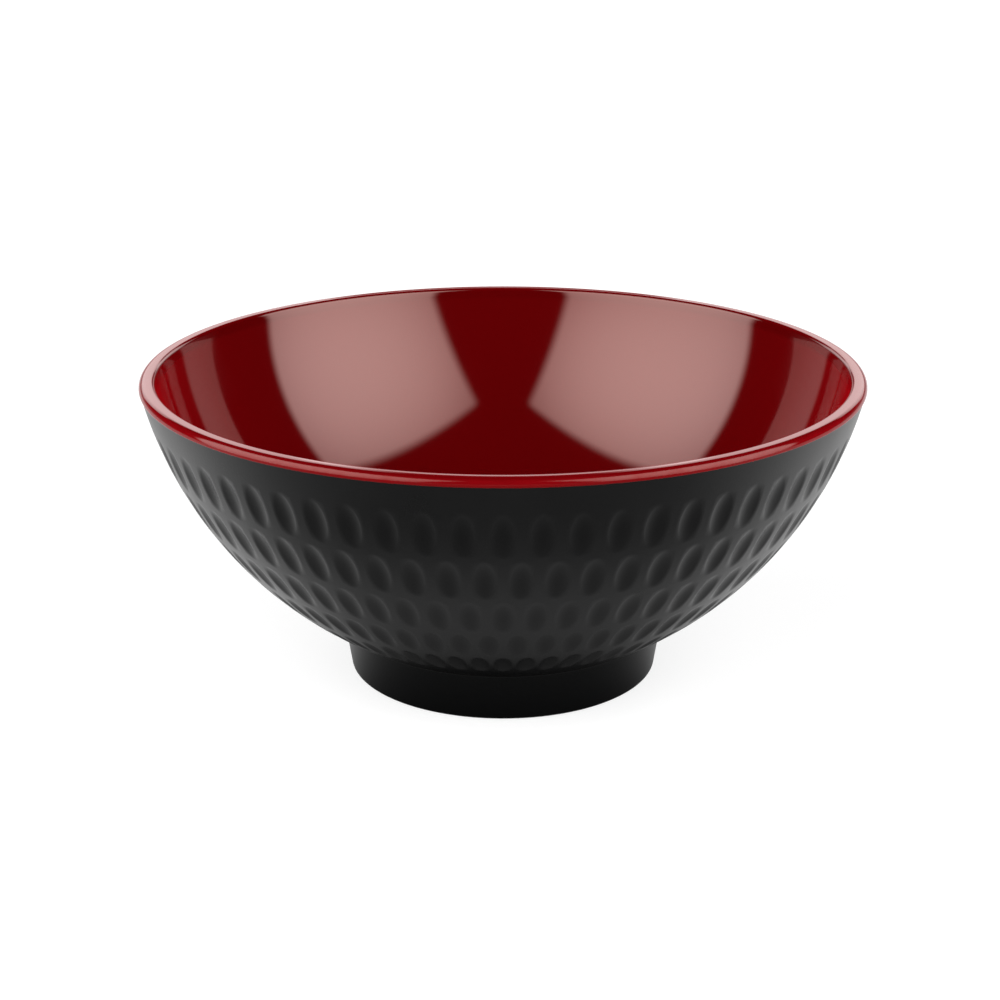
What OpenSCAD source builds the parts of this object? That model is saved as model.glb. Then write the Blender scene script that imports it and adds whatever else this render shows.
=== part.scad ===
// Two-tone melamine bowl: a dark dimpled shell with a foot ring,
// lined by a glossy inner bowl whose lip covers the rim.
// Z is the axis of the bowl, which stands on Z = 0. Sizes are in millimetres.

/* [Bowl] */
// Diameter over the lip
bowl_d = 160; // [130:1:195]
// Height from the foot's base to the top of the lip
bowl_h = 70; // [58:1:85]
// Radius of the arc that the outer wall follows from the lip down to the foot
wall_arc_r = 88; // [84:1:110]

/* [Dimples] */
// Plain wall between the lip and the first row
dimple_top_gap = 5.8; // [4:0.1:8]
// Plain wall between the last row and the foot
dimple_foot_gap = 8.4; // [6:0.1:10]
// Plain wall between one row and the next
dimple_row_gap = 1.2; // [1:0.1:2.4]
// Ridge between neighbours, across the middle of the first row
dimple_top_ridge = 2.5; // [1.8:0.1:3.5]
// Ridge between neighbours, across the middle of the last row
dimple_low_ridge = 0.9; // [0.7:0.05:1.4]
// Depth of a dimple at its middle
dimple_depth = 0.55; // [0.3:0.05:0.7]

/* [Inside] */
// Height of the inside above the foot's base, at the middle
floor_h = 8; // [7.2:0.1:9.5]
// Thickness of the liner
liner_t = 1.6; // [1.2:0.1:2]
// Thickness of the base at the middle, shell and liner together
base_t = 3.6; // [3.2:0.1:4.2]

/* [Lip] */
// Width of the lip's top, from its outer face to the inside
lip_w = 3.4; // [2.9:0.1:4.2]
// Height of the lip above the shell's top edge
lip_h = 1.8; // [1.4:0.1:2.4]
// How far the lip stands out past the shell's wall
lip_proud = 0.3; // [0.2:0.05:0.5]
// Rounding of the lip's outer top edge
lip_outer_r = 1.4; // [0.6:0.1:1.6]
// Rounding of the lip's inner top edge
lip_inner_r = 0.9; // [0.4:0.1:1.2]

/* [Foot] */
// Height of the foot, from its base to the crease under the wall
foot_h = 10.9; // [9:0.1:13]
// Diameter of the foot at the crease
foot_top_d = 73.4; // [66:0.2:88]
// Diameter of the foot at its base
foot_d = 70; // [60:0.2:84]
// Width of the ring that the bowl stands on
foot_ring_w = 4; // [3.2:0.1:5.5]
// Rounding of the ring's outer edge
foot_outer_r = 0.9; // [0.4:0.1:1.4]
// Rounding of the ring's inner edge
foot_inner_r = 0.6; // [0.3:0.1:1]
// Draft of the ring's inner wall, in degrees
recess_draft = 4; // [2:0.5:8]
// Rounding where the ring's inner wall meets the underside
recess_corner_r = 2; // [0.8:0.1:2.5]

/* [Hidden] */
$fn = 216;
// Number of rows of dimples, and of dimples round each row
dimple_rows = 5;
dimple_count = 64;
// Overrun of a cutting shape past the surface that it cuts
over = 1;
// The same for a dimple's cutter, which stays clear of the next row
dimple_over = dimple_row_gap / 4;
// A rounding's circle crosses the sides that it runs into by this much, so that it doesn't graze them
hair = 0.002;
// How far a rounding's waste reaches out from its centre, past the corner, in radii
waste_reach = 3;

// The shell's top land, which carries the lip
land_z = bowl_h - lip_h;
rim_r = bowl_d / 2;
wall_top = [rim_r - lip_proud, land_z];
wall_foot = [foot_top_d / 2, foot_h];
foot_edge = [foot_d / 2, 0];
// The foot's side runs on into the wall, past the crease
foot_head = wall_foot + over * (wall_foot - foot_edge) / foot_h;

// Centre of the outer wall's arc, from the two ends that it has to meet
chord = wall_top - wall_foot;
chord_reach = sqrt(wall_arc_r ^ 2 - (norm(chord) / 2) ^ 2);
arc_c = (wall_top + wall_foot) / 2 + chord_reach * [-chord.y, chord.x] / norm(chord);
// The arc's angles at those ends, and the length of wall between them
angle_top = angle_of(wall_top - arc_c);
angle_foot = angle_of(wall_foot - arc_c);
wall_len = wall_arc_r * (angle_top - angle_foot) * PI / 180;

// The rows of dimples lie at even steps down the wall
row_pitch = (wall_len - dimple_top_gap - dimple_foot_gap + dimple_row_gap) / dimple_rows;
dimple_l = row_pitch - dimple_row_gap;
dimple_turn = 360 / dimple_count;

// The inside is a sphere through the lip and the middle of the floor.
// The bond between shell and liner, and the underside, share its centre.
inside_depth = bowl_h - floor_h;
inside_r = ((rim_r - lip_w) ^ 2 + inside_depth ^ 2) / (2 * inside_depth);
inside_c = [0, floor_h + inside_r];
bond_r = inside_r + liner_t;
under_r = inside_r + base_t;

function unit(v) = v / norm(v);

function angle_of(v) = atan2(v.y, v.x);

// Point of the outer wall's arc at a length down the wall, from the lip
function wall_point(along) =
    let (a = angle_top - along / wall_arc_r * 180 / PI)
    arc_c + wall_arc_r * [cos(a), sin(a)];

// Each row has its own belt of wall, part of a sphere about the bowl's axis.
// Its upper edge is on the arc, in the middle of the plain wall above the row.
function belt_edge(row) =
    row == 0 ? wall_top
    : row == dimple_rows ? wall_foot
    : wall_point(dimple_top_gap + row * row_pitch - dimple_row_gap / 2);

function belt_centre(row) =
    let (upper = belt_edge(row), lower = belt_edge(row + 1))
    [0, (upper * upper - lower * lower) / (2 * (upper.y - lower.y))];

function belt_r(row) = norm(belt_edge(row) - belt_centre(row));

// What a rounding about a centre takes off a corner, between the points where it touches the two sides
module rounding_waste(centre, r, touch_a, touch_b) {
    corner_dir = unit(touch_a + touch_b - 2 * centre);
    difference() {
        polygon([touch_a, centre + waste_reach * r * corner_dir, touch_b]);
        translate(centre) circle(r + hair);
    }
}

// The same for a corner between two straight sides
module corner_waste(corner, side_a, side_b, r) {
    along_a = unit(side_a);
    along_b = unit(side_b);
    half = acos(along_a * along_b) / 2;
    reach = r / tan(half);
    centre = corner + unit(along_a + along_b) * r / sin(half);
    rounding_waste(centre, r, corner + reach * along_a, corner + reach * along_b);
}

// Half section of a sphere about the inside's centre, up to a height
module dome_section(r, top_z) {
    intersection() {
        translate(inside_c) circle(r);
        square([r, top_z]);
    }
}

// Half section of the recess inside the foot ring, under the domed base
module recess_section() {
    mouth = foot_edge - [foot_ring_w, 0];
    slope = tan(recess_draft);
    top = mouth + foot_h * [-slope, 1];
    // The corner's rounding touches the drafted wall and the dome
    wall_x = mouth.x - recess_corner_r / cos(recess_draft);
    reach = under_r + recess_corner_r;
    b = wall_x * slope + inside_c.y;
    c = wall_x ^ 2 + inside_c.y ^ 2 - reach ^ 2;
    centre_z = (b - sqrt(b ^ 2 - (slope ^ 2 + 1) * c)) / (slope ^ 2 + 1);
    centre = [wall_x - slope * centre_z, centre_z];
    on_wall = centre + recess_corner_r * [cos(recess_draft), sin(recess_draft)];
    on_dome = inside_c + under_r * unit(centre - inside_c);
    difference() {
        polygon([[0, -over], mouth - over * [-slope, 1], top, [0, foot_h]]);
        translate(inside_c) circle(under_r);
        rounding_waste(centre, recess_corner_r, on_wall, on_dome);
    }
    corner_waste(mouth, [1, 0], [-slope, 1], foot_inner_r);
}

// Half section of the belts' spheres. While the wall arc's centre is beyond the axis, a sphere
// passes the others only along its own belt, and with the centre on this side the others pass it there.
module belts_section() {
    if (arc_c.x < 0)
        for (row = [0 : dimple_rows - 1]) translate(belt_centre(row)) circle(belt_r(row));
    else
        intersection_for (row = [0 : dimple_rows - 1]) translate(belt_centre(row)) circle(belt_r(row));
}

// Half section of the shell, before its dimples are cut
module shell_section() {
    difference() {
        union() {
            intersection() {
                belts_section();
                translate([0, foot_h / 2]) square([rim_r, land_z - foot_h / 2]);
            }
            polygon([[0, 0], foot_edge, foot_head, [0, foot_head.y]]);
        }
        dome_section(bond_r, bowl_h);
        recess_section();
        corner_waste(foot_edge, [-1, 0], wall_foot - foot_edge, foot_outer_r);
    }
}

// Cutter of one dimple of a length and width, on a wall of radius wall_r that X = 0 touches at the origin.
// It is a slice of a wheel with its axis along Y, outside the wall. The wheel's radius gives
// the dimple its curve along the wall, and the rounding of its rim the curve across.
module dimple_cutter(wall_r, l, w) {
    along_r = 1 / (8 * dimple_depth / l ^ 2 - 1 / wall_r);
    across_r = ((w / 2) ^ 2 + dimple_depth ^ 2) / (2 * dimple_depth);
    swing = asin((l / 2 + dimple_over) / along_r);
    translate([along_r - dimple_depth, 0, 0])
        rotate([90, 0, 0])
            rotate([0, 0, 180 - swing])
                rotate_extrude(angle = 2 * swing)
                    intersection() {
                        translate([along_r - across_r, 0]) circle(across_r);
                        translate([along_r - dimple_depth - dimple_over, -w])
                            square([dimple_depth + 2 * dimple_over, 2 * w]);
                    }
}

// Cutters of one row of dimples. Each dimple lies below the ridge between two of the row above.
module dimple_row(row) {
    middle = wall_point(dimple_top_gap + dimple_l / 2 + row * row_pitch);
    centre = belt_centre(row);
    wall_r = belt_r(row);
    share_down = row / (dimple_rows - 1);
    ridge = dimple_top_ridge + share_down * (dimple_low_ridge - dimple_top_ridge);
    width = 2 * PI * middle.x / dimple_count - ridge;
    stagger = row % 2 / 2;
    for (i = [0 : dimple_count - 1])
        rotate((i + stagger) * dimple_turn - 90)
            translate([0, 0, centre.y])
                rotate([0, -angle_of(middle - centre), 0])
                    translate([wall_r, 0, 0])
                        dimple_cutter(wall_r, dimple_l, width);
}

// Half section of the liner, with its lip
module liner_section() {
    top_r = min(lip_outer_r, lip_h - lip_proud);
    // The inner edge's rounding touches the flat top and the inside
    inner_z = bowl_h - lip_inner_r;
    reach = inside_r + lip_inner_r;
    inner = [sqrt(reach ^ 2 - (inner_z - inside_c.y) ^ 2), inner_z];
    on_inside = inside_c + inside_r * unit(inner - inside_c);
    difference() {
        union() {
            dome_section(bond_r, land_z);
            translate([0, land_z]) square([rim_r, lip_h]);
        }
        dome_section(inside_r, bowl_h + over);
        rounding_waste(inner, lip_inner_r, [inner.x, bowl_h], on_inside);
        corner_waste([rim_r, bowl_h], [-1, 0], [0, -1], top_r);
        corner_waste([rim_r, land_z], [-1, 0], [0, 1], lip_proud);
    }
}

// Dark shell: dimpled wall and foot ring in one moulding
module outer_shell() {
    color("#202022")
        difference() {
            rotate_extrude() shell_section();
            for (row = [0 : dimple_rows - 1]) dimple_row(row);
        }
}

// Glossy lining, bonded into the shell, with its lip on the shell's land
module inner_liner() {
    color("#8a0a14")
        rotate_extrude() liner_section();
}

outer_shell();
inner_liner();
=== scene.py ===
"""Looks of a two-tone melamine bowl: a satin black dimpled shell and a glossy red lining, in a plain studio."""

import logging
import math
from dataclasses import dataclass
from enum import Enum

import bmesh
import bpy
import numpy as np
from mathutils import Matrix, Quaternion, Vector


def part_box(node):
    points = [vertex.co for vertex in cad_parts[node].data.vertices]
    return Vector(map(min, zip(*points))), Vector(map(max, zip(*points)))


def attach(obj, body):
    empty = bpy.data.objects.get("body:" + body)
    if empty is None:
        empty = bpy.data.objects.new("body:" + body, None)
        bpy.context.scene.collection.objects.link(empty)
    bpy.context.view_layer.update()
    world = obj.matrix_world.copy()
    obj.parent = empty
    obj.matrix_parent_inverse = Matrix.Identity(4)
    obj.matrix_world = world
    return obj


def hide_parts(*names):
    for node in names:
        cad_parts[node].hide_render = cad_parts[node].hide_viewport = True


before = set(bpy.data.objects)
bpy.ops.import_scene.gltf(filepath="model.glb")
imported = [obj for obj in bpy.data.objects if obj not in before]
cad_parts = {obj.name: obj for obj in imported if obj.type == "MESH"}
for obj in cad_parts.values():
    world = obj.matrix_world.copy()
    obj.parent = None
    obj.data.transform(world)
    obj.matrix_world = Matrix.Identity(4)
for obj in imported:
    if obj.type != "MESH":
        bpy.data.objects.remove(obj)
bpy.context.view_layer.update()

LOG = logging.getLogger("bowl")
MM = 0.001
FRONT = -math.pi / 2
BODY = "root"
# Points closer together than this are one point
WELD = 0.01 * MM
# A corner sharper than this stays sharp
CREASE = math.radians(50)

Point = tuple[float, float]
Colour = tuple[float, float, float, float]
WHITE: Colour = (1, 1, 1, 1)


class Piece(Enum):
    """The bowl's pieces, by the name of the CAD node that each stands for."""

    SHELL = "outer_shell"
    LINER = "inner_liner"


class Slot(Enum):
    """The record's material slots."""

    SHELL = "shell_black"
    LINER = "liner_red"


class Field:
    """A node's output that takes part in sums, where each sum adds a Math node."""

    def __init__(self, graph: "Graph", socket: bpy.types.NodeSocket) -> None:
        """Holds a socket and the graph that it belongs to.

        Args:
            graph: The graph that new nodes go into.
            socket: The output socket.
        """
        self.graph = graph
        self.socket = socket

    def __add__(self, other: "Field | float") -> "Field":
        """Sum of two values."""
        return self.graph.math("ADD", self, other)

    def __radd__(self, other: float) -> "Field":
        """Sum with a number on the left."""
        return self.graph.math("ADD", other, self)

    def __sub__(self, other: "Field | float") -> "Field":
        """Difference of two values."""
        return self.graph.math("SUBTRACT", self, other)

    def __rsub__(self, other: float) -> "Field":
        """Difference from a number on the left."""
        return self.graph.math("SUBTRACT", other, self)

    def __mul__(self, other: "Field | float") -> "Field":
        """Product of two values."""
        return self.graph.math("MULTIPLY", self, other)

    def __rmul__(self, other: float) -> "Field":
        """Product with a number on the left."""
        return self.graph.math("MULTIPLY", other, self)

    def __truediv__(self, other: "Field | float") -> "Field":
        """Quotient of two values."""
        return self.graph.math("DIVIDE", self, other)


class Graph:
    """A node tree that is being built."""

    def __init__(self, tree: bpy.types.NodeTree) -> None:
        """Takes over an empty tree.

        Args:
            tree: The tree that nodes go into.
        """
        self.tree = tree

    def feed(self, socket: bpy.types.NodeSocket, value: object) -> None:
        """Links a value to an input, or sets it there.

        Args:
            socket: The input socket.
            value: A field, a socket or a plain value.
        """
        if isinstance(value, Field):
            self.tree.links.new(value.socket, socket)
        elif isinstance(value, bpy.types.NodeSocket):
            self.tree.links.new(value, socket)
        else:
            socket.default_value = value

    def add(self, kind: str, inputs: dict[str, object] | None = None, **settings: object) -> bpy.types.Node:
        """Adds a node.

        Args:
            kind: Blender's name for the type of node.
            inputs: What its inputs get, by their names.
            **settings: The node's own properties.

        Returns:
            The new node.
        """
        node = self.tree.nodes.new(kind)
        for name, value in settings.items():
            setattr(node, name, value)
        self.dress(node, inputs or {})
        return node

    def dress(self, node: bpy.types.Node, inputs: dict[str, object]) -> None:
        """Gives a node's inputs their values.

        Args:
            node: The node.
            inputs: What its inputs get, by their names.
        """
        for name, value in inputs.items():
            socket = next(s for s in node.inputs if s.name == name and s.enabled)
            self.feed(socket, value)

    def field(self, node: bpy.types.Node, name: str) -> Field:
        """One output of a node, as a field.

        Args:
            node: The node.
            name: The output's name.

        Returns:
            The field.
        """
        return Field(self, next(s for s in node.outputs if s.name == name and s.enabled))

    def math(self, operation: str, *values: object) -> Field:
        """Adds a Math node.

        Args:
            operation: Its operation.
            *values: Its inputs, in order.

        Returns:
            Its result.
        """
        node = self.add("ShaderNodeMath", operation=operation)
        for socket, value in zip(node.inputs, values):
            self.feed(socket, value)
        return Field(self, node.outputs[0])

    def ramp(self, value: Field, start: float, end: float) -> Field:
        """Smooth rise from 0 to 1.

        Args:
            value: What it follows.
            start: The value where it leaves 0.
            end: The value where it reaches 1.

        Returns:
            The rise.
        """
        node = self.add("ShaderNodeMapRange", {
            "Value": value, "From Min": start, "From Max": end, "To Min": 0.0, "To Max": 1.0,
        }, interpolation_type="SMOOTHSTEP")
        return self.field(node, "Result")

    def place(self) -> Field:
        """Where a point lies on its object."""
        return self.field(self.add("ShaderNodeTexCoord"), "Object")

    def noise(self, place: Field, scale: float, detail: float, roughness: float) -> Field:
        """Soft random pattern in space.

        Args:
            place: Where it is looked up.
            scale: How many of its patches go into a metre.
            detail: How many finer layers it has.
            roughness: How strong the finer layers are.

        Returns:
            The pattern, from 0 to 1 about 0.5.
        """
        node = self.add("ShaderNodeTexNoise", {
            "Vector": place, "Scale": scale, "Detail": detail, "Roughness": roughness})
        return self.field(node, "Fac")

    def blend(self, share: Field, first: Field | Colour, second: Field | Colour) -> Field:
        """Mixture of two colours.

        Args:
            share: How much of the second colour there is.
            first: The first colour.
            second: The second colour.

        Returns:
            The mixture.
        """
        node = self.add("ShaderNodeMix", {"Factor": share, "A": first, "B": second}, data_type="RGBA")
        return self.field(node, "Result")

    def bump(self, height: Field, distance: float) -> Field:
        """Fine relief.

        Args:
            height: The pattern of the relief.
            distance: How far it rises where the pattern is 1.

        Returns:
            The surface's normal on it.
        """
        node = self.add("ShaderNodeBump", {"Height": height, "Distance": distance, "Strength": 1.0})
        return self.field(node, "Normal")

    def attribute(self, name: str, data_type: str) -> Field:
        """A named attribute of the geometry.

        Args:
            name: The attribute's name.
            data_type: Its type.

        Returns:
            The attribute's field.
        """
        node = self.add("GeometryNodeInputNamedAttribute", {"Name": name}, data_type=data_type)
        return self.field(node, "Attribute")

    def parts(self, vector: object) -> tuple[Field, Field, Field]:
        """The three parts of a vector.

        Args:
            vector: The vector's field.

        Returns:
            Its X, Y and Z.
        """
        node = self.add("ShaderNodeSeparateXYZ", {"Vector": vector})
        return self.field(node, "X"), self.field(node, "Y"), self.field(node, "Z")


def unit(v: np.ndarray) -> np.ndarray:
    """A vector's direction, with length 1."""
    return v / np.linalg.norm(v)


def angle_of(v: np.ndarray) -> float:
    """Angle of a vector of the half section, in radians from the R axis."""
    return math.atan2(v[1], v[0])


class Profile:
    """Half section of a turned piece: a run of points (r, z)."""

    def __init__(self, start: Point) -> None:
        """Starts the run.

        Args:
            start: Its first point.
        """
        self.points: list[np.ndarray] = [np.array(start, float)]

    def line(self, end: Point, steps: int = 1) -> "Profile":
        """Goes on in a straight line.

        Args:
            end: The point that it goes to.
            steps: How many steps it takes.

        Returns:
            The profile.
        """
        start = self.points[-1]
        shares = np.linspace(0, 1, steps + 1)[1:]
        self.points += [start + share * (np.array(end, float) - start) for share in shares]
        return self

    def arc(self, centre: Point, end: Point, steps: int) -> "Profile":
        """Goes on along the shorter arc about a centre.

        Args:
            centre: The arc's centre.
            end: The point that it goes to, as far from the centre as the last one.
            steps: How many steps it takes.

        Returns:
            The profile.
        """
        middle = np.array(centre, float)
        first = angle_of(self.points[-1] - middle)
        turn = math.remainder(angle_of(np.array(end, float) - middle) - first, math.tau)
        radius = np.linalg.norm(np.array(end, float) - middle)
        for share in np.linspace(0, 1, steps + 1)[1:]:
            a = first + share * turn
            self.points.append(middle + radius * np.array([math.cos(a), math.sin(a)]))
        return self

    def round_corner(self, corner: Point, onward: Point, radius: float, steps: int) -> "Profile":
        """Goes on to a corner between two straight sides, and round it.

        Args:
            corner: Where the two sides would meet.
            onward: A point on the side after the corner.
            radius: The rounding's radius.
            steps: How many steps the rounding takes.

        Returns:
            The profile.
        """
        tip = np.array(corner, float)
        back = unit(self.points[-1] - tip)
        ahead = unit(np.array(onward, float) - tip)
        half = math.acos(float(back @ ahead)) / 2
        reach = radius / math.tan(half)
        centre = tip + unit(back + ahead) * radius / math.sin(half)
        self.line(tuple(tip + reach * back))
        return self.arc(tuple(centre), tuple(tip + reach * ahead), steps)

    def turned(self, columns: int, name: str) -> bpy.types.Mesh:
        """Turns the profile about the Z axis into a mesh with a column of points facing the front.

        Args:
            columns: How many columns of points go round.
            name: The mesh's name.

        Returns:
            The mesh, closed at the axis where the profile reaches it.
        """
        angles = FRONT + np.arange(columns) * math.tau / columns
        verts: list[tuple[float, float, float]] = []
        rings: list[list[int]] = []
        for r, z in self.points:
            first = len(verts)
            if r < WELD:
                verts.append((0.0, 0.0, z))
                rings.append([first] * columns)
            else:
                verts += [(r * math.cos(a), r * math.sin(a), z) for a in angles]
                rings.append(list(range(first, first + columns)))
        faces = []
        for upper, lower in zip(rings, rings[1:]):
            for i in range(columns):
                j = (i + 1) % columns
                corners = [upper[i], upper[j], lower[j], lower[i]]
                faces.append(list(dict.fromkeys(corners)))
        mesh = bpy.data.meshes.new(name)
        mesh.from_pydata(verts, [], faces)
        return mesh


@dataclass(frozen=True)
class BowlSizes:
    """Sizes that both pieces share, in metres."""

    rim_r: float
    top_z: float
    land_z: float
    floor_z: float = 8 * MM
    liner_t: float = 1.6 * MM
    base_t: float = 3.6 * MM
    lip_w: float = 3.4 * MM
    lip_proud: float = 0.3 * MM

    @classmethod
    def from_frame(cls) -> "BowlSizes":
        """Takes the overall sizes from the CAD nodes.

        Returns:
            The sizes.
        """
        liner_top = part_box(Piece.LINER.value)[1]
        shell_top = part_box(Piece.SHELL.value)[1]
        return cls(rim_r=liner_top.x, top_z=liner_top.z, land_z=shell_top.z)

    @property
    def inside_r(self) -> float:
        """Radius of the inside, a sphere through the lip and the middle of the floor."""
        depth = self.top_z - self.floor_z
        return ((self.rim_r - self.lip_w) ** 2 + depth**2) / (2 * depth)

    @property
    def centre(self) -> np.ndarray:
        """Centre of the inside, of the bond under it and of the base's underside."""
        return np.array([0, self.floor_z + self.inside_r])

    @property
    def bond_r(self) -> float:
        """Radius of the bond between liner and shell."""
        return self.inside_r + self.liner_t

    @property
    def under_r(self) -> float:
        """Radius of the base's underside."""
        return self.inside_r + self.base_t

    def at_height(self, r: float, z: float) -> Point:
        """Point at a height on a sphere about the shared centre.

        Args:
            r: The sphere's radius.
            z: The height.

        Returns:
            The point of its half section.
        """
        return math.sqrt(r**2 - (z - self.centre[1]) ** 2), z

    def bottom(self, r: float) -> Point:
        """Lowest point of a sphere about the shared centre."""
        return 0.0, self.centre[1] - r


@dataclass(frozen=True)
class DimpleTile:
    """One dimple and the ridge round it, flat, as the mesh that repeats over the wall.

    The tile is 1 by 1. Its points carry where they lie on the oval's own disc,
    how far they have left the oval for the tile's edge, and how deep they lie.
    """

    side_steps: int = 8
    edge_blends: tuple[float, ...] = (1.0, 0.45)
    rings: tuple[float, ...] = (1.0, 0.87, 0.64, 0.34)

    def edge(self) -> list[Point]:
        """The tile's edge, as points in order.

        Returns:
            The points.
        """
        steps = [i / self.side_steps - 0.5 for i in range(self.side_steps)]
        top = [(s, -0.5) for s in steps]
        right = [(0.5, s) for s in steps]
        bottom = [(-s, 0.5) for s in steps]
        left = [(-0.5, -s) for s in steps]
        return top + right + bottom + left

    def build(self) -> bpy.types.Object:
        """Makes the tile's mesh.

        Returns:
            The tile, as an object that isn't finished yet.
        """
        edge = self.edge()
        loops = [(blend, 1.0) for blend in self.edge_blends] + [(0.0, ring) for ring in self.rings]
        verts, ovals, blends, hollows = [], [], [], []
        for blend, ring in loops:
            for x, y in edge:
                a = math.atan2(y, x)
                verts.append((x, y, 0))
                ovals.append((ring * math.cos(a), ring * math.sin(a), 0))
                blends.append(blend)
                hollows.append(1 - ring**2)
        verts.append((0, 0, 0))
        ovals.append((0, 0, 0))
        blends.append(0.0)
        hollows.append(1.0)
        n = len(edge)
        faces = []
        for k in range(len(loops)):
            for i in range(n):
                j = (i + 1) % n
                a, b = k * n + i, k * n + j
                if k + 1 < len(loops):
                    faces.append((a, b, b + n, a + n))
                else:
                    faces.append((a, b, len(verts) - 1))
        mesh = bpy.data.meshes.new("dimple_tile")
        mesh.from_pydata(verts, [], faces)
        oval = mesh.attributes.new("oval", "FLOAT_VECTOR", "POINT")
        oval.data.foreach_set("vector", np.array(ovals, np.float32).ravel())
        for name, values in (("blend", blends), ("hollow", hollows)):
            layer = mesh.attributes.new(name, "FLOAT", "POINT")
            layer.data.foreach_set("value", np.array(values, np.float32))
        return link_object("dimple_tile", mesh)


def link_object(name: str, data: bpy.types.ID | None) -> bpy.types.Object:
    """Puts a new object into the scene.

    Args:
        name: Its name.
        data: Its mesh, lamp or camera.

    Returns:
        The object.
    """
    made = bpy.data.objects.new(name, data)
    bpy.context.scene.collection.objects.link(made)
    return made


def weld(meshes: list[bpy.types.Mesh], name: str) -> bpy.types.Mesh:
    """Joins meshes into one closed, outward-facing, smooth mesh.

    Args:
        meshes: The meshes, which meet point to point.
        name: The new mesh's name.

    Returns:
        The joined mesh.
    """
    work = bmesh.new()
    for mesh in meshes:
        work.from_mesh(mesh)
    bmesh.ops.remove_doubles(work, verts=work.verts, dist=WELD)
    bmesh.ops.recalc_face_normals(work, faces=work.faces)
    for face in work.faces:
        face.smooth = True
    for edge in work.edges:
        edge.smooth = edge.calc_face_angle(0.0) < CREASE
    open_edges = sum(not edge.is_manifold for edge in work.edges)
    joined = bpy.data.meshes.new(name)
    work.to_mesh(joined)
    work.free()
    for mesh in meshes:
        bpy.data.meshes.remove(mesh)
    triangles = sum(len(p.vertices) - 2 for p in joined.polygons)
    LOG.info("%s: %d triangles, %d open edges", name, triangles, open_edges)
    return joined


@dataclass(frozen=True)
class SatinBlack:
    """Finish of the shell: black melamine with the fine grain of its mould, a little polished on the ridges, with
    painted shade that keeps the dimples' hollows and the foot darker than the ridges.
    """

    deep: Colour = (0.0012, 0.0012, 0.0013, 1)
    # Lighter tone of the ridges, patchy at random; painted shade keeps it out of the dimples' hollows and off the
    # foot
    lit_tone: Colour = (0.0034, 0.0034, 0.0035, 1)
    cloud_scale: float = 70.0
    grain_scale: float = 1900.0
    roughness: float = 0.33
    roughness_spread: float = 0.10
    ridge_polish: float = 0.07
    grain_height: float = 0.012 * MM
    # How strongly it mirrors: the plain wall and ridges, the bottom of a dimple, and the foot up to the crease, where
    # the weaker mirroring is painted shade
    shine: float = 0.55
    hollow_shine: float = 0.39
    shaded_foot_shine: float = 0.24
    foot_blend: float = 0.4 * MM

    def make(self, foot_h: float) -> bpy.types.Material:
        """Makes the material.

        Args:
            foot_h: Height of the foot, which gets painted shade: it mirrors less and keeps the darker tone.

        Returns:
            The material.
        """
        material, graph, shader = new_material("satin_black_melamine")
        spot = graph.place()
        cloud = graph.noise(spot, self.cloud_scale, detail=4.0, roughness=0.55)
        grain = graph.noise(spot, self.grain_scale, detail=2.0, roughness=0.5)
        hollow = graph.field(graph.add("ShaderNodeAttribute", attribute_name="hollow"), "Fac")
        _, _, z = graph.parts(spot)
        # The wall above the foot; below it the foot gets painted shade
        on_wall = graph.ramp(z, foot_h - self.foot_blend, foot_h + self.foot_blend)
        # Painted shade: the lighter tone fades out in the dimples' hollows and on the foot, and is patchy with the
        # clouds
        lit_share = (1 - hollow) * cloud * on_wall
        rough = self.roughness + (cloud - 0.5) * self.roughness_spread + (hollow - 0.5) * self.ridge_polish
        wall_shine = self.shine + (self.hollow_shine - self.shine) * hollow
        graph.dress(shader, {
            "Base Color": graph.blend(lit_share, self.deep, self.lit_tone),
            "Roughness": rough,
            "Specular IOR Level": self.shaded_foot_shine + (wall_shine - self.shaded_foot_shine) * on_wall,
            "Normal": graph.bump(grain, self.grain_height),
        })
        return material


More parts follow.
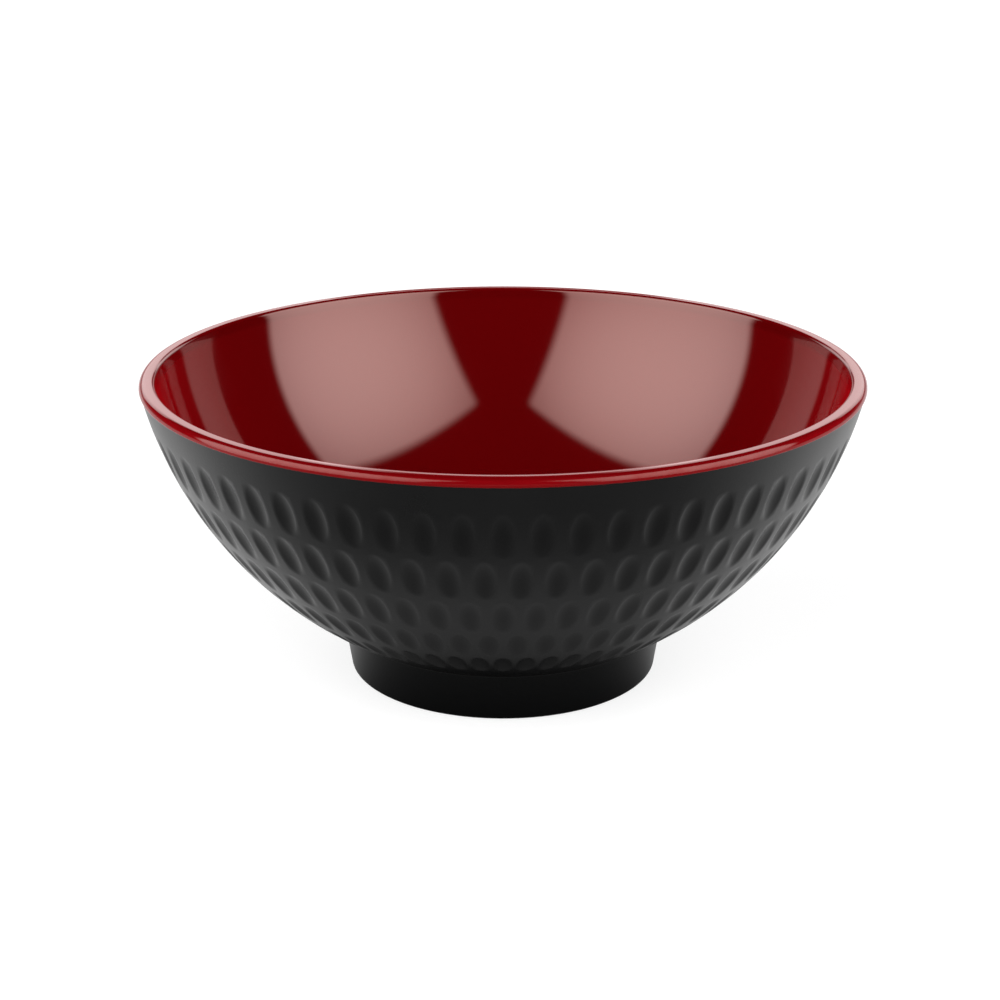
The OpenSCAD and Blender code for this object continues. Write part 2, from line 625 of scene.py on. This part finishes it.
@dataclass(frozen=True)
class GlossRed:
    """Finish of the lining: deep red melamine, pressed to a high gloss, with faint scuffs, and painted light that
    makes the lip's outer edge a lighter, less glossy red.
    """

    deep: Colour = (0.066, 0.0002, 0.0005, 1)
    warm: Colour = (0.079, 0.0003, 0.0008, 1)
    # Lighter red of the lip's outer edge, painted light where the lamps fall on it
    lit_tone: Colour = (0.150, 0.0013, 0.0026, 1)
    # Painted light along the lip's outer edge, where the lamps fall on it: the strip's width, and how far it goes at
    # least and more on scuffs
    lip_band_w: float = 1.2 * MM
    lit_least: float = 0.6
    lit_spread: float = 0.8
    lit_gloss: float = 0.30
    gloss_tint: Colour = (1.0, 0.66, 0.60, 1)
    gloss: float = 0.80
    # Red sheen at shallow angles, inside the bowl and on the lip
    blush_tint: Colour = (1.0, 0.01, 0.02, 1)
    blush: float = 0.45
    lip_blush: float = 0.20
    blush_spread: float = 0.55
    cloud_scale: float = 28.0
    peel_scale: float = 95.0
    scuff_scale: float = 240.0
    roughness: float = 0.055
    roughness_spread: float = 0.02
    peel_height: float = 0.0006 * MM
    refraction: float = 1.55

    def make(self, rim_r: float, lip_z: float) -> bpy.types.Material:
        """Makes the material.

        Args:
            rim_r: Radius of the lip's outer face, along which painted light makes the red lighter and less glossy.
            lip_z: Height of the lip's underside, above which the blush is weaker.

        Returns:
            The material.
        """
        material, graph, shader = new_material("gloss_red_melamine")
        spot = graph.place()
        cloud = graph.noise(spot, self.cloud_scale, detail=3.0, roughness=0.5)
        peel = graph.noise(spot, self.peel_scale, detail=1.0, roughness=0.4)
        scuff = graph.noise(spot, self.scuff_scale, detail=6.0, roughness=0.65)
        x, y, z = graph.parts(spot)
        reach = graph.math("SQRT", x * x + y * y)
        # Painted light: a lighter, less glossy red on the lip's outer edge, patchy with the scuffs
        lit_share = graph.ramp(reach, rim_r - self.lip_band_w, rim_r) * (self.lit_least + self.lit_spread * scuff)
        on_lip = graph.ramp(z, lip_z - self.lip_band_w, lip_z)
        graph.dress(shader, {
            "Base Color": graph.blend(lit_share, graph.blend(cloud, self.deep, self.warm), self.lit_tone),
            "Roughness": self.roughness + (scuff - 0.5) * self.roughness_spread,
            "IOR": self.refraction,
            "Specular IOR Level": self.gloss + (self.lit_gloss - self.gloss) * lit_share,
            "Specular Tint": self.gloss_tint,
            "Sheen Weight": self.blush + (self.lip_blush - self.blush) * on_lip,
            "Sheen Roughness": self.blush_spread,
            "Sheen Tint": self.blush_tint,
            "Normal": graph.bump(peel, self.peel_height),
        })
        return material


def new_material(name: str) -> tuple[bpy.types.Material, Graph, bpy.types.Node]:
    """Starts a material with one surface shader.

    Args:
        name: The material's name.

    Returns:
        The material, its graph and its shader.
    """
    material = bpy.data.materials.new(name)
    material.use_nodes = True
    graph = Graph(material.node_tree)
    material.node_tree.nodes.clear()
    shader = graph.add("ShaderNodeBsdfPrincipled")
    graph.add("ShaderNodeOutputMaterial", {"Surface": shader.outputs[0]})
    return material, graph, shader


def finish_piece(name: str, mesh: bpy.types.Mesh, piece: Piece) -> bpy.types.Object:
    """Puts a finished mesh on the bowl in place of its CAD node.

    Args:
        name: The piece's name.
        mesh: Its mesh, with its material.
        piece: The node that it stands for.

    Returns:
        The piece.
    """
    made = link_object(name, mesh)
    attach(made, BODY)
    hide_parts(piece.value)
    LOG.info("%s stands for %s", name, piece.value)
    return made


@dataclass
class DimpledShell:
    """The dark shell: dimpled wall, foot ring, and the land and bond that the liner sits on."""

    sizes: BowlSizes
    tile: DimpleTile
    finish: SatinBlack
    wall_arc_r: float = 88 * MM
    rows: int = 5
    count: int = 64
    top_gap: float = 5.8 * MM
    foot_gap: float = 8.4 * MM
    row_gap: float = 1.2 * MM
    top_ridge: float = 2.5 * MM
    low_ridge: float = 0.9 * MM
    depth: float = 0.55 * MM
    foot_h: float = 10.9 * MM
    foot_top_r: float = 36.7 * MM
    foot_r: float = 35 * MM
    ring_w: float = 4 * MM
    ring_outer_r: float = 0.9 * MM
    ring_inner_r: float = 0.6 * MM
    recess_draft: float = math.radians(4)
    recess_corner_r: float = 2 * MM
    # Share of the foot's side that has steps, which ends above the ring's rounding
    stepped_side: float = 0.8

    def __post_init__(self) -> None:
        """Works out the outer wall's arc and the spacing of the rows."""
        self.wall_top = np.array([self.sizes.rim_r - self.sizes.lip_proud, self.sizes.land_z])
        self.wall_foot = np.array([self.foot_top_r, self.foot_h])
        chord = self.wall_top - self.wall_foot
        reach = math.sqrt(self.wall_arc_r**2 - (np.linalg.norm(chord) / 2) ** 2)
        across = np.array([-chord[1], chord[0]])
        self.arc_centre = (self.wall_top + self.wall_foot) / 2 + reach * unit(across)
        self.top_angle = angle_of(self.wall_top - self.arc_centre)
        foot_angle = angle_of(self.wall_foot - self.arc_centre)
        wall_len = self.wall_arc_r * (self.top_angle - foot_angle)
        self.row_pitch = (wall_len - self.top_gap - self.foot_gap + self.row_gap) / self.rows
        self.first_edge = self.top_gap - self.row_gap / 2

    def wall_point(self, along: float) -> Point:
        """Point of the plain wall at a length down from the lip.

        Args:
            along: The length down the wall.

        Returns:
            The point of its half section.
        """
        a = self.top_angle - along / self.wall_arc_r
        r, z = self.arc_centre + self.wall_arc_r * np.array([math.cos(a), math.sin(a)])
        return r, z

    def wall_tree(self, material: bpy.types.Material) -> tuple[bpy.types.NodeTree, dict[str, object]]:
        """Builds the geometry nodes that lay the tile over the wall, row by row.

        Args:
            material: The wall's material.

        Returns:
            The tree, and the values of its inputs by their identifiers.
        """
        tree = bpy.data.node_groups.new("dimpled_wall", "GeometryNodeTree")
        graph = Graph(tree)
        face = tree.interface
        face.new_socket("Geometry", in_out="INPUT", socket_type="NodeSocketGeometry")
        face.new_socket("Geometry", in_out="OUTPUT", socket_type="NodeSocketGeometry")
        wanted = self.wall_inputs(material)
        values = {}
        for name, (kind, value) in wanted.items():
            values[face.new_socket(name, in_out="INPUT", socket_type=kind).identifier] = value
        given = graph.add("NodeGroupInput")
        size = {name: graph.field(given, name) for name in wanted}

        cells = graph.add("GeometryNodeMeshLine", {"Count": size["Rows"] * size["Count"], "Offset": (0, 0, 0)})
        numbered = graph.add("GeometryNodeStoreNamedAttribute", {
            "Geometry": cells.outputs[0], "Name": "cell",
            "Value": graph.add("GeometryNodeInputIndex").outputs[0]}, data_type="INT", domain="POINT")
        tiles = graph.add("GeometryNodeInstanceOnPoints", {
            "Points": numbered.outputs[0], "Instance": given.outputs["Geometry"]})
        real = graph.add("GeometryNodeRealizeInstances", {"Geometry": tiles.outputs[0]})
        laid = graph.add("GeometryNodeSetPosition", {
            "Geometry": real.outputs[0], "Position": self.laid_spot(graph, size)})
        merged = graph.add("GeometryNodeMergeByDistance", {"Geometry": laid.outputs[0], "Distance": WELD})
        dressed = graph.add("GeometryNodeSetMaterial", {
            "Geometry": merged.outputs[0], "Material": size["Material"]})
        graph.add("NodeGroupOutput", {"Geometry": dressed.outputs[0]})
        return tree, values

    def wall_inputs(self, material: bpy.types.Material) -> dict[str, tuple[str, object]]:
        """What the wall's nodes are given.

        Args:
            material: The wall's material.

        Returns:
            The type and value of each input, by its name.
        """
        counts = {"Rows": self.rows, "Count": self.count}
        lengths = {
            "First Edge": self.first_edge,
            "Row Pitch": self.row_pitch,
            "Dimple Length": self.row_pitch - self.row_gap,
            "Top Ridge": self.top_ridge,
            "Low Ridge": self.low_ridge,
            "Depth": self.depth,
            "Arc Radius": self.wall_arc_r,
            "Arc Centre R": float(self.arc_centre[0]),
            "Arc Centre Z": float(self.arc_centre[1]),
            "Top Angle": self.top_angle,
        }
        wanted: dict[str, tuple[str, object]] = {}
        wanted |= {name: ("NodeSocketInt", count) for name, count in counts.items()}
        wanted |= {name: ("NodeSocketFloat", length) for name, length in lengths.items()}
        wanted["Material"] = ("NodeSocketMaterial", material)
        return wanted

    @staticmethod
    def laid_spot(graph: Graph, size: dict[str, Field]) -> Field:
        """Works out where a point of a tile lies on the wall.

        Args:
            graph: The wall's graph.
            size: The graph's inputs, by their names.

        Returns:
            The point's place.
        """
        cell = graph.attribute("cell", "INT")
        row = graph.math("FLOOR", (cell + 0.5) / size["Count"])
        column = cell - row * size["Count"]
        stagger = graph.math("MODULO", row, 2.0) * 0.5
        edge_x, edge_y, _ = graph.parts(graph.add("GeometryNodeInputPosition").outputs[0])
        oval_x, oval_y, _ = graph.parts(graph.attribute("oval", "FLOAT_VECTOR"))
        blend = graph.attribute("blend", "FLOAT")
        hollow = graph.attribute("hollow", "FLOAT")

        middle = size["Top Angle"] - (size["First Edge"] + (row + 0.5) * size["Row Pitch"]) / size["Arc Radius"]
        middle_r = size["Arc Centre R"] + size["Arc Radius"] * graph.math("COSINE", middle)
        share_down = row / (size["Rows"] - 1.0)
        ridge = size["Top Ridge"] + share_down * (size["Low Ridge"] - size["Top Ridge"])
        half_w = 0.5 - 0.5 * ridge * size["Count"] / (middle_r * math.tau)
        half_l = 0.5 * size["Dimple Length"] / size["Row Pitch"]
        x = oval_x * half_w * (1 - blend) + edge_x * blend
        y = oval_y * half_l * (1 - blend) + edge_y * blend

        turn = (column + stagger + x) * math.tau / size["Count"] + FRONT
        along = size["First Edge"] + (row + 0.5 + y) * size["Row Pitch"]
        down = size["Top Angle"] - along / size["Arc Radius"]
        reach = size["Arc Radius"] - size["Depth"] * hollow
        r = size["Arc Centre R"] + reach * graph.math("COSINE", down)
        z = size["Arc Centre Z"] + reach * graph.math("SINE", down)
        spot = graph.add("ShaderNodeCombineXYZ", {
            "X": r * graph.math("COSINE", turn), "Y": r * graph.math("SINE", turn), "Z": z})
        return graph.field(spot, "Vector")

    def wall(self, material: bpy.types.Material) -> bpy.types.Mesh:
        """Makes the dimpled band of the wall.

        Args:
            material: Its material.

        Returns:
            The band's mesh.
        """
        tile = self.tile.build()
        tree, values = self.wall_tree(material)
        modifier = tile.modifiers.new("dimpled_wall", "NODES")
        modifier.node_group = tree
        for identifier, value in values.items():
            modifier[identifier] = value
        shown = tile.evaluated_get(bpy.context.evaluated_depsgraph_get())
        mesh = bpy.data.meshes.new_from_object(shown)
        tile.modifiers.remove(modifier)
        flat = tile.data
        bpy.data.objects.remove(tile)
        bpy.data.meshes.remove(flat)
        for spent in ("cell", "oval", "blend"):
            mesh.attributes.remove(mesh.attributes[spent])
        return mesh

    def upper_profile(self) -> Profile:
        """Plain wall over the dimples, the land under the lip, and the bond down to the axis.

        Returns:
            The half section.
        """
        sizes = self.sizes
        run = Profile(self.wall_point(self.first_edge))
        run.arc(tuple(self.arc_centre), tuple(self.wall_top), steps=5)
        run.line(sizes.at_height(sizes.bond_r, sizes.land_z))
        return run.arc(tuple(sizes.centre), sizes.bottom(sizes.bond_r), steps=14)

    def lower_profile(self) -> Profile:
        """Plain wall under the dimples, the crease, the foot ring, and the underside to the axis.

        Returns:
            The half section.
        """
        sizes = self.sizes
        foot_edge = (self.foot_r, 0.0)
        mouth = np.array([self.foot_r - self.ring_w, 0.0])
        slope = math.tan(self.recess_draft)
        corner, on_wall, on_dome = self.recess_corner(mouth, slope)
        run = Profile(self.wall_point(self.first_edge + self.rows * self.row_pitch))
        run.arc(tuple(self.arc_centre), tuple(self.wall_foot), steps=6)
        run.line(tuple(self.wall_foot + self.stepped_side * (np.array(foot_edge) - self.wall_foot)), steps=5)
        run.round_corner(foot_edge, tuple(mouth), self.ring_outer_r, steps=6)
        run.round_corner(tuple(mouth), tuple(mouth + [-slope, 1]), self.ring_inner_r, steps=4)
        run.line(tuple(on_wall), steps=3)
        run.arc(tuple(corner), tuple(on_dome), steps=6)
        return run.arc(tuple(sizes.centre), sizes.bottom(sizes.under_r), steps=10)

    def recess_corner(self, mouth: np.ndarray, slope: float) -> tuple[np.ndarray, np.ndarray, np.ndarray]:
        """Rounding between the ring's drafted inner wall and the domed underside.

        Args:
            mouth: Where the inner wall meets the base plane.
            slope: How far the wall leans in, for each length that it rises.

        Returns:
            The rounding's centre, and the points where it touches the wall and the dome.
        """
        sizes = self.sizes
        wall_r = mouth[0] - self.recess_corner_r / math.cos(self.recess_draft)
        reach = sizes.under_r + self.recess_corner_r
        centre_z = sizes.centre[1]
        b = wall_r * slope + centre_z
        c = wall_r**2 + centre_z**2 - reach**2
        z = (b - math.sqrt(b**2 - (slope**2 + 1) * c)) / (slope**2 + 1)
        corner = np.array([wall_r - slope * z, z])
        towards_wall = np.array([math.cos(self.recess_draft), math.sin(self.recess_draft)])
        on_wall = corner + self.recess_corner_r * towards_wall
        on_dome = sizes.centre + sizes.under_r * unit(corner - sizes.centre)
        return corner, on_wall, on_dome

    def build(self) -> bpy.types.Object:
        """Makes the shell and puts it on the bowl.

        Returns:
            The shell.
        """
        material = self.finish.make(self.foot_h)
        columns = self.count * self.tile.side_steps
        upper = self.upper_profile().turned(columns, "shell_upper")
        lower = self.lower_profile().turned(columns, "shell_lower")
        mesh = weld([self.wall(material), upper, lower], "shell")
        mesh.materials.clear()
        mesh.materials.append(material)
        return finish_piece("shell", mesh, Piece.SHELL)


@dataclass
class GlossyLiner:
    """The red lining: the inside of the bowl, with the lip that covers the rim."""

    sizes: BowlSizes
    finish: GlossRed
    lip_outer_r: float = 1.4 * MM
    lip_inner_r: float = 0.9 * MM
    columns: int = 400
    inside_steps: int = 96

    def profile(self) -> Profile:
        """The whole half section, from the middle of the floor round the lip and back under to the axis.

        Returns:
            The half section.
        """
        sizes = self.sizes
        inner_z = sizes.top_z - self.lip_inner_r
        inner = np.array(sizes.at_height(sizes.inside_r + self.lip_inner_r, inner_z))
        on_inside = sizes.centre + sizes.inside_r * unit(inner - sizes.centre)
        face_end = (sizes.rim_r, sizes.land_z)
        run = Profile(sizes.bottom(sizes.inside_r))
        run.arc(tuple(sizes.centre), tuple(on_inside), steps=self.inside_steps)
        run.arc(tuple(inner), (inner[0], sizes.top_z), steps=8)
        run.round_corner((sizes.rim_r, sizes.top_z), face_end, self.lip_outer_r, steps=10)
        run.round_corner(face_end, (0.0, sizes.land_z), sizes.lip_proud, steps=6)
        run.line(sizes.at_height(sizes.bond_r, sizes.land_z))
        return run.arc(tuple(sizes.centre), sizes.bottom(sizes.bond_r), steps=24)

    def build(self) -> bpy.types.Object:
        """Makes the liner and puts it on the bowl.

        Returns:
            The liner.
        """
        mesh = weld([self.profile().turned(self.columns, "liner_turned")], "liner")
        mesh.materials.append(self.finish.make(self.sizes.rim_r, self.sizes.land_z))
        return finish_piece("liner", mesh, Piece.LINER)


@dataclass(frozen=True)
class Softbox:
    """A flat lamp that faces the bowl, brightest in its middle and soft at its edge.

    Its angles are in degrees, with the azimuth from straight behind the bowl.
    """

    name: str
    azimuth: float
    elevation: float
    distance: float
    width: float
    height: float
    radiance: float
    roll: float = 0.0
    aim_z: float = 50 * MM
    dimming: float = 0.45
    soft_edge: float = 0.07

    def build(self) -> bpy.types.Object:
        """Hangs the lamp.

        Returns:
            The lamp.
        """
        lamp = bpy.data.lights.new(self.name, "AREA")
        lamp.shape = "RECTANGLE"
        lamp.size = self.width
        lamp.size_y = self.height
        lamp.energy = self.radiance * math.pi * self.width * self.height
        self.shade(lamp)
        turn, rise = math.radians(self.azimuth), math.radians(self.elevation)
        away = Vector((math.sin(turn) * math.cos(rise), math.cos(turn) * math.cos(rise), math.sin(rise)))
        made = link_object(self.name, lamp)
        made.location = Vector((0, 0, self.aim_z)) + self.distance * away
        roll = Quaternion((0, 0, 1), math.radians(self.roll))
        made.rotation_euler = (away.to_track_quat("Z", "Y") @ roll).to_euler()
        LOG.info("lamp %s", self.name)
        return made

    def shade(self, lamp: bpy.types.AreaLight) -> None:
        """Gives the lamp's face its bright middle and soft edge.

        Args:
            lamp: The lamp.
        """
        lamp.use_nodes = True
        lamp.node_tree.nodes.clear()
        graph = Graph(lamp.node_tree)
        spot = graph.field(graph.add("ShaderNodeNewGeometry"), "Parametric")
        glow: Field | float = 1.0
        for share in graph.parts(spot)[:2]:
            from_middle = graph.math("ABSOLUTE", share * 2.0 - 1.0)
            edge = graph.ramp(1 - from_middle, 0.0, 2 * self.soft_edge)
            glow = edge * (1 - self.dimming * from_middle * from_middle) * glow
        shader = graph.add("ShaderNodeEmission", {"Color": WHITE, "Strength": glow})
        graph.add("ShaderNodeOutputLight", {"Surface": shader.outputs[0]})


@dataclass(frozen=True)
class Studio:
    """Pale floor that runs out into a white sweep, soft lamps, and the surroundings that the bowl mirrors."""

    floor_r: float = 6.0
    floor_columns: int = 96
    floor_z: float = -0.02 * MM
    floor_roughness: float = 0.9
    floor_pale: Colour = (0.38, 0.38, 0.38, 1)
    floor_mirrored: Colour = (0.03, 0.03, 0.03, 1)
    # How much whiter the camera sees the floor, and the distances over which it runs out into the sweep
    floor_lift: float = 0.68
    sweep: tuple[float, float] = (0.30, 0.90)
    # How brightly the bowl mirrors the floor. The glow starts a little away from the foot,
    # nearer to it behind the bowl, and is weaker in front, where it also fades with distance.
    glow: float = 0.85
    glow_start: tuple[float, float] = (0.020, 0.085)
    glow_nearer: float = 0.018
    glow_turn: tuple[float, float] = (-0.9, 0.2)
    glow_front: float = 0.45
    glow_far_front: float = 0.17
    glow_fade: tuple[float, float] = (0.055, 0.115)
    # Light from all round, and the backdrop that the bowl mirrors low behind it
    fill: float = 0.12
    sky_glow: float = 0.9
    sky_rise: float = 0.22
    sky_half_width: float = 0.90
    lamps: tuple[Softbox, ...] = (
        Softbox("box_right", 117.8, 30.3, 0.90, 1.29, 1.12, 4.6, roll=-8.4, aim_z=30 * MM),
        Softbox("box_left", -115.0, 26.5, 0.90, 1.57, 1.16, 4.6, roll=10.6, aim_z=140 * MM),
        Softbox("box_back_right", 22, 18, 1.20, 0.71, 0.42, 2.0),
        Softbox("box_back_left", -22, 18, 1.20, 0.71, 0.42, 2.0),
        Softbox("strip_back", 0, 18, 1.20, 0.34, 0.12, 1.5),
    )

    def floor(self) -> bpy.types.Object:
        """Lays the floor, a pale disc that the camera sees as white away from the bowl's shadow.

        From below, the camera looks through it at the foot.

        Returns:
            The floor.
        """
        reach = Profile((0.0, self.floor_z)).line((self.floor_r, self.floor_z), steps=4)
        mesh = reach.turned(self.floor_columns, "floor")
        mesh.flip_normals()
        mesh.materials.append(self.floor_material())
        made = link_object("floor", mesh)
        return made

    def floor_material(self) -> bpy.types.Material:
        """Makes the floor's material, which sets what the bowl mirrors apart from what the camera sees.

        Returns:
            The material.
        """
        material, graph, shader = new_material("pale_floor")
        path = graph.add("ShaderNodeLightPath")
        camera = graph.field(path, "Is Camera Ray")
        mirrored = mirror_ray(graph, path)
        place = graph.place()
        away = graph.field(graph.add("ShaderNodeVectorMath", {"Vector": place}, operation="LENGTH"), "Value")
        _, back, _ = graph.parts(place)
        sweep = graph.ramp(away, *self.sweep)
        turned = graph.ramp(back / away, *self.glow_turn)
        front = self.glow_front - (self.glow_front - self.glow_far_front) * graph.ramp(away, *self.glow_fade)
        near = graph.ramp(away + self.glow_nearer * turned, *self.glow_start)
        glow = near * (front + (1 - front) * turned)
        below = graph.field(graph.add("ShaderNodeNewGeometry"), "Backfacing")
        graph.dress(shader, {
            "Base Color": graph.blend(mirrored, self.floor_pale, self.floor_mirrored),
            "Roughness": self.floor_roughness,
            "Specular IOR Level": 0.0,
            "Emission Color": WHITE,
            "Emission Strength": camera * (self.floor_lift + sweep) + mirrored * glow * self.glow,
            "Alpha": 1 - camera * below,
        })
        return material

    def surroundings(self) -> None:
        """Sets the world: dim fill, a white backdrop low behind the bowl in its reflections, white for the camera."""
        world = bpy.data.worlds.new("studio")
        world.use_nodes = True
        world.node_tree.nodes.clear()
        graph = Graph(world.node_tree)
        path = graph.add("ShaderNodeLightPath")
        across, _, rise = graph.parts(graph.field(graph.add("ShaderNodeTexCoord"), "Generated"))
        low = graph.math("MAXIMUM", 1 - graph.math("ABSOLUTE", rise) / self.sky_rise, 0.0)
        behind = graph.math("MAXIMUM", 1 - graph.math("ABSOLUTE", across) / self.sky_half_width, 0.0)
        camera = graph.field(path, "Is Camera Ray")
        mirrored = mirror_ray(graph, path)
        other = (1 - camera) * (1 - mirrored)
        strength = camera + mirrored * low * behind * self.sky_glow + other * self.fill
        back = graph.add("ShaderNodeBackground", {"Color": WHITE, "Strength": strength})
        graph.add("ShaderNodeOutputWorld", {"Surface": back.outputs[0]})
        bpy.context.scene.world = world

    def build(self) -> None:
        """Sets up the floor, the lamps and the surroundings."""
        self.floor()
        for lamp in self.lamps:
            lamp.build()
        self.surroundings()


def mirror_ray(graph: Graph, path: bpy.types.Node) -> Field:
    """One where a mirror or glass looks at a surface, and zero in other light.

    Args:
        graph: The graph of the material or world.
        path: Its Light Path node.

    Returns:
        The mask.
    """
    return graph.math("MAXIMUM", graph.field(path, "Is Glossy Ray"), graph.field(path, "Is Transmission Ray"))


@dataclass(frozen=True)
class Viewpoint:
    """The photograph's camera: in front of the bowl and above it, aimed at its middle."""

    distance: float = 0.460
    elevation: float = math.radians(19.39)
    aim_z: float = 35 * MM
    focal_pixels: float = 2016.0
    frame_pixels: float = 1000.0
    aim_x_pixel: float = 503.0
    aim_y_pixel: float = 514.5
    sensor: float = 36.0
    clip_start: float = 10 * MM

    def build(self) -> bpy.types.Object:
        """Sets up the camera.

        Returns:
            The camera.
        """
        data = bpy.data.cameras.new("camera")
        data.sensor_width = self.sensor
        data.lens = self.focal_pixels / self.frame_pixels * self.sensor
        data.shift_x = 0.5 - self.aim_x_pixel / self.frame_pixels
        data.shift_y = self.aim_y_pixel / self.frame_pixels - 0.5
        data.clip_start = self.clip_start
        back = Vector((0, -math.cos(self.elevation), math.sin(self.elevation)))
        made = link_object("camera", data)
        made.location = Vector((0, 0, self.aim_z)) + self.distance * back
        made.rotation_euler = back.to_track_quat("Z", "Y").to_euler()
        bpy.context.scene.camera = made
        return made


def main() -> None:
    """Builds the bowl and the studio round it."""
    logging.basicConfig(level=logging.INFO, format="%(message)s")
    bpy.context.scene.view_settings.view_transform = "Standard"
    Viewpoint().build()
    sizes = BowlSizes.from_frame()
    DimpledShell(sizes, DimpleTile(), SatinBlack()).build()
    GlossyLiner(sizes, GlossRed()).build()
    Studio().build()


if __name__ == "__main__":
    main()
